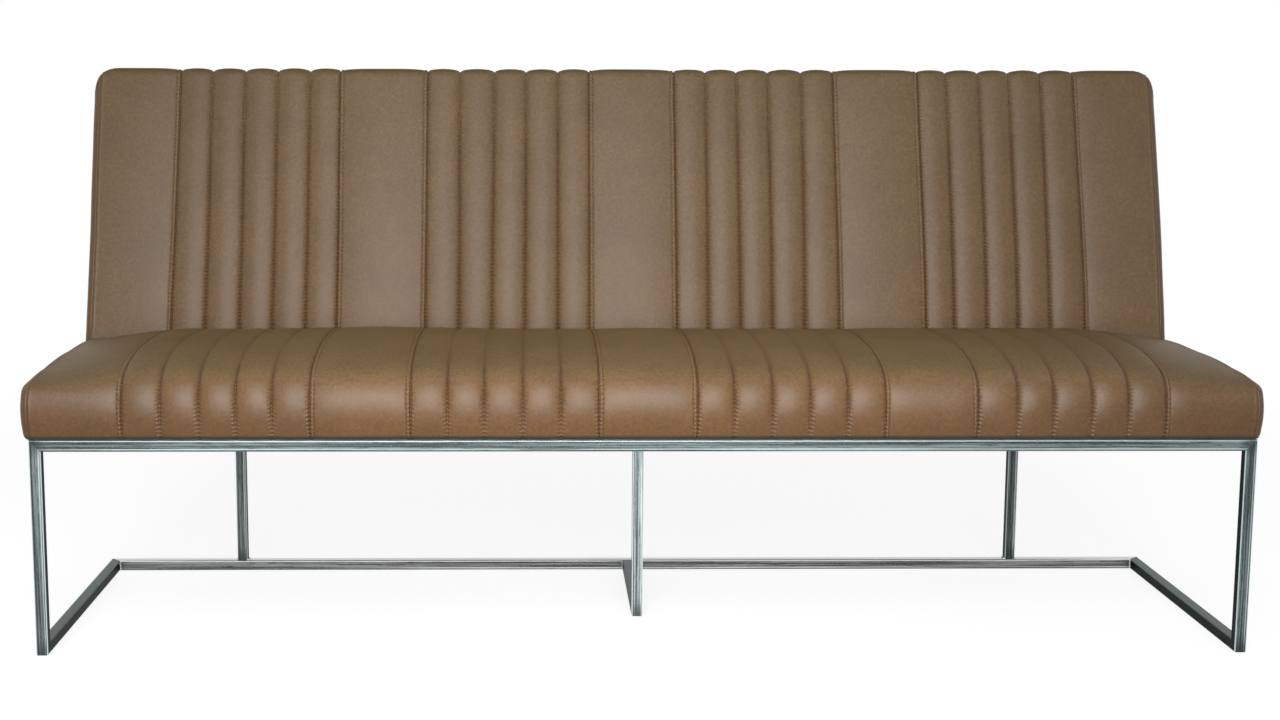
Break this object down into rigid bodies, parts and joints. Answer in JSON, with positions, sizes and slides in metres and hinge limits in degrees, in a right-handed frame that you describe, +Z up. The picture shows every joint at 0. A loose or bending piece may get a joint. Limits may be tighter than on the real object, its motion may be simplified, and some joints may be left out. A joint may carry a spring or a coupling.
{
  "type": "restaurant booth seating",
  "caption": "Long free-standing restaurant bench with a channelled leather seat and reclined back on a welded frame of slim square steel tube.",
  "frame": {"origin": "centre of the whole bench's plan, at floor level", "axes": "+Z up; +X along the bench to the right of someone who looks at its front; the sitter faces -Y and the back leans to +Y"},
  "size_m": [2, 0.7338, 0.951],
  "materials": {
    "steel_tube": "raw mill-finish steel under clear lacquer, streaked along the tube",
    "weld": "bright ground and rippled weld metal",
    "zinc_fasteners": "zinc plated",
    "seat_leather": "semi-matt pull-up leather, quilted, tone-on-tone stitching",
    "back_leather": "semi-matt pull-up leather, quilted, tone-on-tone stitching",
    "rear_leather": "semi-matt pull-up leather on board",
    "timber": "planed softwood",
    "webbing": "woven elastic webbing",
    "foam": "open-cell foam",
    "cambric": "non-woven black cloth"
  },
  "bodies": {
    "root": {"back_bottom_timber": "timber", "back_cambric": "cambric", "back_cover": "back_leather", "back_foam": "foam", "back_inner_timbers": "timber", "back_outer_panel": "rear_leather", "back_post_bolts": "zinc_fasteners", "back_top_timber": "timber", "back_webbing": "webbing", "centre_cross_rail": "steel_tube", "centre_floor_runner": "steel_tube", "centre_leg": "steel_tube", "front_top_rail": "steel_tube", "left_back_post": "steel_tube", "left_back_stile": "timber", "left_floor_runner": "steel_tube", "left_front_leg": "steel_tube", "left_rear_upright": "steel_tube", "left_seat_end_timber": "timber", "left_side_rail": "steel_tube", "rear_floor_rail": "steel_tube", "rear_top_rail": "steel_tube", "right_back_post": "steel_tube", "right_back_stile": "timber", "right_floor_runner": "steel_tube", "right_front_leg": "steel_tube", "right_rear_upright": "steel_tube", "right_seat_end_timber": "timber", "right_side_rail": "steel_tube", "seat_cambric": "cambric", "seat_cover": "seat_leather", "seat_cross_timbers": "timber", "seat_fixing_tabs": "steel_tube", "seat_foam": "foam", "seat_front_timber": "timber", "seat_rear_timber": "timber", "seat_screws": "zinc_fasteners", "seat_webbing": "webbing", "weld_beads": "weld"}
  },
  "joints": []
}
